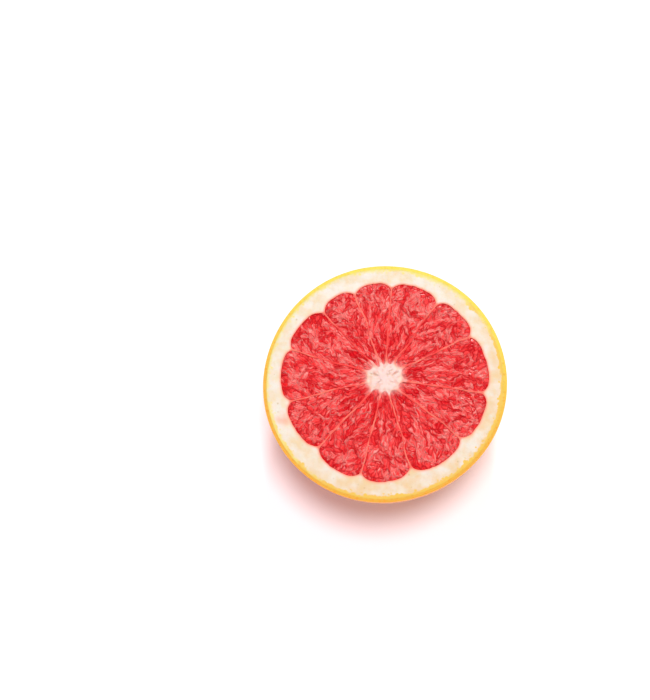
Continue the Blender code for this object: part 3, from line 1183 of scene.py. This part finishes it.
def sac_face(sides, across, out, settings, seed):
    """Height and grain of a segment's face at each share across and out, and what colours it.

    The grain is a place along and across the juice sac there, so that fibres follow the sac.
    """
    draw = np.random.default_rng(settings.seed + seed)
    sacs = Sacs(sides, settings, draw)
    plan = stretched(sides, across, out)
    bent = plan + SAC_BEND * rough_pair(plan, SAC_BEND_SIZE, 5.0 + seed, 15.0 + seed)
    gap, along, aside = sacs.measure(bent)
    rows = np.arange(len(plan))
    two = np.argpartition(gap, 1, axis=1)[:, :2]
    swap = gap[rows, two[:, 0]] > gap[rows, two[:, 1]]
    two[swap] = two[swap][:, ::-1]
    own, next_to = two[:, 0], two[:, 1]
    along, aside = along[rows, own], aside[rows, own]
    inside = (gap[rows, next_to] - gap[rows, own]) * sacs.width[own] * 0.5
    bulge = np.sqrt(1.0 - (1.0 - np.clip(inside / SAC_ROUNDING, 0.0, 1.0)) ** 2)
    wall = (sacs.wall[own] + sacs.wall[next_to]) / 2.0
    tough = eased(wall, 0.50, 0.66)
    bulge += 0.85 * (1.0 - bulge) * tough
    belly = np.clip(along, -1.0, 1.0)

    height = settings.sac_height * bulge * (0.75 + 0.25 * sacs.tone[own])
    height += SAC_LIFT * sacs.lift[own] * bulge + SAC_END_RISE * belly * bulge
    height += FACE_SWELL * rough(plan, FACE_SWELL_SIZE, 33.0 + seed)
    edge = np.minimum(np.minimum(across, 1.0 - across) * sacs.reach, (1.0 - out) * LOBE_REACH)
    height -= EDGE_SINK * fading(edge, EDGE_SINK_WIDTH)

    # Painted highlight: a pale streak along each sac's bulge, where a glint of light would lie
    line = bell(aside - sacs.glint_streak[own], 0.40)
    line *= bell(along, 0.75) * eased(sacs.wall[own], 0.45, 0.85)
    hidden = 0.70 * (1.0 - eased(out, 0.08, 0.60))
    tip = out * TIP_REACH * (1.0 + 0.8 * rough(plan, 0.0012, 90.0))
    looks = {
        "sac_tone": sacs.tone[own] - hidden - 0.30 * eased(out, 0.88, 1.0),
        # Pale sac skins, and the painted highlight streaks
        "sac_skin_and_glint": np.maximum(bell(inside, 0.00015) * tough, 0.95 * line),
        # Painted shade in the creases between sacs and along the segment's sunken edge
        "sac_crease_shade": np.maximum(
            bell(inside, 0.00011) * (1.0 - eased(wall, 0.42, 0.58)), 0.8 * bell(edge, 0.00035)),
        "sac_white": fading(tip, PALE_TIP),
    }
    spin = GRAIN_SHIFT * own
    grain = np.column_stack((aside * sacs.width[own] + spin, along * sacs.length[own] + spin))
    return height, grain, looks


def press_pulp(mesh, levels, settings, seed):
    """Press a unit block into a segment packed with juice sacs, and store what colours it."""
    places, across, out, top = fit_block(mesh, levels)
    height, grain, looks = sac_face(levels[0][1], across[top], out[top], settings, seed)
    places[top, 2] = levels[0][0] + height
    place_vertices(mesh, places)
    store(mesh, looks, top)
    corners = np.empty(len(mesh.loops), np.int32)
    mesh.loops.foreach_get("vertex_index", corners)
    every = places[:, [0, 2]]
    every[top] = grain
    mesh.uv_layers.new(name="Grain").data.foreach_set(
        "uv", every[corners].astype(np.float32).ravel())


def pulp_material(settings):
    """Wet juice sacs: deep red, with painted shade in the creases between them, coral inside,
    pale along their skins, with painted highlight streaks and painted glints.
    """
    material, tree, shader = new_material("grapefruit_pulp")
    place = object_place(tree)
    patches, flecks = mottle(tree, place, 0.0075, 0.0011)
    spot, cell = glands(tree, place, 0.0042, 0.36)
    grain = put(tree, "ShaderNodeUVMap", uv_map="Grain").outputs["UV"]
    stretch = put(tree, "ShaderNodeMapping", {"Vector": grain, "Scale": (2100.0, 300.0, 1.0)})
    fibre = put(tree, "ShaderNodeTexNoise",
                {"Vector": stretch.outputs["Vector"], "Scale": 1.0, "Detail": 3.0,
                 "Distortion": 0.6})
    fibre = step_between(tree, fibre.outputs["Fac"], 0.40, 0.66)

    tone = weighted(tree, (stored(tree, "sac_tone"), 0.55), (fibre, 0.40), (patches, 0.45))
    clear = step_between(tree, flecks, 0.72, 0.95)
    # Painted glints: a few round pale pinkish spots stand for highlights on the wet sacs
    wet = times(tree, step_between(tree, cell, 0.55, 0.95), spot)
    wet = times(tree, wet, step_between(tree, fibre, 0.0, 1.0, 0.25, 0.85))
    skin = step_between(tree, fibre, 0.0, 0.6, 0.35, 1.0)
    base = laid_over(
        tree, settings.deep,
        (step_between(tree, tone, 0.15, 0.75), settings.ripe),
        (step_between(tree, tone, 0.85, 1.25), settings.pale),
        (times(tree, clear, 0.7), settings.clear),
        (wet, PAINTED_GLINT),
        # Pale sac skins together with the painted highlight streaks
        (times(tree, stored(tree, "sac_skin_and_glint"), skin), settings.pale),
        # Painted shade: deep red in the creases between sacs and along the edge
        (times(tree, stored(tree, "sac_crease_shade"), 0.9), settings.deep),
        (stored(tree, "sac_white"), TIP_PALE),
    )
    feed(tree, shader, {
        "Base Color": base,
        "Roughness": step_between(tree, fibre, 0.0, 1.0, 0.20, 0.36),
        "Normal": bump(tree, fibre, 0.00012),
        "Specular IOR Level": 0.25,
        **coat(0.3, 0.08),
        **glow(0.25, (1.0, 0.15, 0.12), 0.0012),
    })
    return material


class GRAPEFRUIT_OT_pulp(bpy.types.Operator):
    """Build the segments of pulp, each a wedge whose cut face is packed with juice sacs"""

    bl_idname = "grapefruit.pulp"
    bl_label = "Pulp"

    def execute(self, context):
        settings = context.scene.grapefruit_pulp
        material = pulp_material(settings)
        plans = [segment_sides(node, at, PULP_SWELL) for at, node in enumerate(SEGMENT_NODES)]
        segments = wedge_blocks(SAC_COLUMNS, SAC_STEPS, len(plans[0]))
        for at, (segment, levels) in enumerate(zip(segments, plans)):
            press_pulp(segment.data, levels, settings, at)
            segment.data.materials.append(material)
            select_only(segment)
            bpy.ops.object.shade_smooth_by_angle(angle=math.radians(75.0))
            node = SEGMENT_NODES[at]
            piece_from(node.replace("segment", "pulp"), [node])
        return {"FINISHED"}


# Stage


class GrapefruitStage(bpy.types.PropertyGroup):
    """Surface, light and camera."""

    key_strength: FloatProperty(
        name="Key light", description="Strength of the large soft light", default=2.25)
    glint_power: FloatProperty(
        name="Glint light", description="Power of the small light that wets the pulp",
        unit="POWER", default=3.8)
    sky: FloatProperty(
        name="Sky", description="Strength of the light from all round", default=0.6)
    tilt: FloatProperty(
        name="Tilt", description="How far the camera leans from straight above the cut",
        subtype="ANGLE", default=math.radians(12.6))
    turn: FloatProperty(
        name="Turn", description="How far the camera leans to the side", subtype="ANGLE",
        default=math.radians(2.5))
    distance: length_setting("Distance", "Camera to the middle of the cut", 0.65)
    lens: FloatProperty(name="Lens", description="Focal length in millimetres", default=73.8)


def white_surface():
    """A wide pale surface under the fruit."""
    bpy.ops.mesh.primitive_plane_add(size=FLOOR_SIZE)
    floor = bpy.context.active_object
    floor.name = "floor"
    material, tree, shader = new_material("white_surface")
    feed(tree, shader, {
        "Base Color": colour(SURFACE_WHITE), "Roughness": 0.75, "Specular IOR Level": 0.2,
    })
    floor.data.materials.append(material)


def soft_light(name, place, kind, energy):
    """A light that faces the cut and doesn't show itself."""
    lamp = bpy.data.lights.new(name, kind)
    lamp.energy = energy
    thing = add_object(name, lamp)
    thing.location = place
    aim = Vector((0.0, 0.0, CUT_HEIGHT)) - Vector(place)
    thing.rotation_euler = aim.to_track_quat("-Z", "Y").to_euler()
    thing.visible_camera = False
    return thing


def white_sky(strength):
    """A world that lights from all round and shows as plain white."""
    world = bpy.data.worlds.new("studio")
    world.use_nodes = True
    tree = world.node_tree
    tree.nodes.clear()
    paths = put(tree, "ShaderNodeLightPath").outputs
    dimmed = step_between(tree, paths["Is Glossy Ray"], 0.0, 1.0, strength, SKY_SHEEN * strength)
    light = put(tree, "ShaderNodeBackground", {"Color": colour(SKY_TINT), "Strength": dimmed})
    shown = put(tree, "ShaderNodeBackground", {"Color": colour(WHITE), "Strength": 1.0})
    both = put(tree, "ShaderNodeMixShader",
               {0: paths["Is Camera Ray"], 1: light.outputs[0], 2: shown.outputs[0]})
    put(tree, "ShaderNodeOutputWorld", {"Surface": both.outputs[0]})
    bpy.context.scene.world = world


def right_and_up(back):
    """A camera's right and up when this way points back from what it looks at."""
    right = Vector((0.0, 1.0, 0.0)).cross(back).normalized()
    return right, back.cross(right)


def stage_camera(settings):
    """The photo's view of the cut: nearly straight on, from a little below and to the right."""
    middle = Vector((0.0, 0.0, CUT_HEIGHT))
    back = Vector((math.tan(settings.turn), -math.tan(settings.tilt), 1.0)).normalized()
    right, up = right_and_up(back)
    place = middle + back * settings.distance
    aim = middle - right * AIM_RIGHT + up * AIM_DOWN
    back = (place - aim).normalized()
    turned = Matrix((*right_and_up(back), back)).transposed().to_4x4()
    lens = bpy.data.cameras.new("camera")
    lens.lens = settings.lens
    camera = add_object("camera", lens)
    camera.matrix_world = Matrix.Translation(place) @ turned
    bpy.context.scene.camera = camera


class GRAPEFRUIT_OT_stage(bpy.types.Operator):
    """Set the pale surface, the soft light and the camera"""

    bl_idname = "grapefruit.stage"
    bl_label = "Stage"

    def execute(self, context):
        deselect_all()
        settings = context.scene.grapefruit_stage
        white_surface()
        key = soft_light("key", KEY_PLACE, "SUN", settings.key_strength)
        key.data.angle = KEY_WIDTH
        # The wet cut would mirror so wide a light as a haze
        key.visible_glossy = False
        glint = soft_light("glint", GLINT_PLACE, "AREA", settings.glint_power)
        glint.data.size = GLINT_SIZE
        white_sky(settings.sky)
        stage_camera(settings)
        context.scene.view_settings.view_transform = "Standard"
        context.scene.view_settings.look = "None"
        return {"FINISHED"}


class GRAPEFRUIT_PT_half(bpy.types.Panel):
    """Lists the pieces of the half and their settings"""

    bl_idname = "GRAPEFRUIT_PT_half"
    bl_label = "Grapefruit Half"
    bl_space_type = "VIEW_3D"
    bl_region_type = "UI"
    bl_category = "Grapefruit"

    def draw(self, context):
        for operator, _, settings in PIECES:
            box = self.layout.box()
            box.operator(operator.bl_idname)
            group = getattr(context.scene, settings)
            for name in group.bl_rna.properties.keys():
                if name not in ("rna_type", "name"):
                    box.prop(group, name)


PIECES = (
    (GRAPEFRUIT_OT_rind, GrapefruitRind, "grapefruit_rind"),
    (GRAPEFRUIT_OT_pith, GrapefruitPith, "grapefruit_pith"),
    (GRAPEFRUIT_OT_pulp, GrapefruitPulp, "grapefruit_pulp"),
    (GRAPEFRUIT_OT_stage, GrapefruitStage, "grapefruit_stage"),
)


def register():
    """Make the pieces' settings, operators and panel known."""
    for operator, group, settings in PIECES:
        bpy.utils.register_class(group)
        bpy.utils.register_class(operator)
        setattr(bpy.types.Scene, settings, PointerProperty(type=group))
    bpy.utils.register_class(GRAPEFRUIT_PT_half)


def unregister():
    """Take back what register added."""
    bpy.utils.unregister_class(GRAPEFRUIT_PT_half)
    for operator, group, settings in reversed(PIECES):
        delattr(bpy.types.Scene, settings)
        bpy.utils.unregister_class(operator)
        bpy.utils.unregister_class(group)


def main():
    """Build every piece in order."""
    register()
    bpy.ops.grapefruit.rind()
    bpy.ops.grapefruit.pith()
    bpy.ops.grapefruit.pulp()
    bpy.ops.grapefruit.stage()


if __name__ == "__main__":
    main()
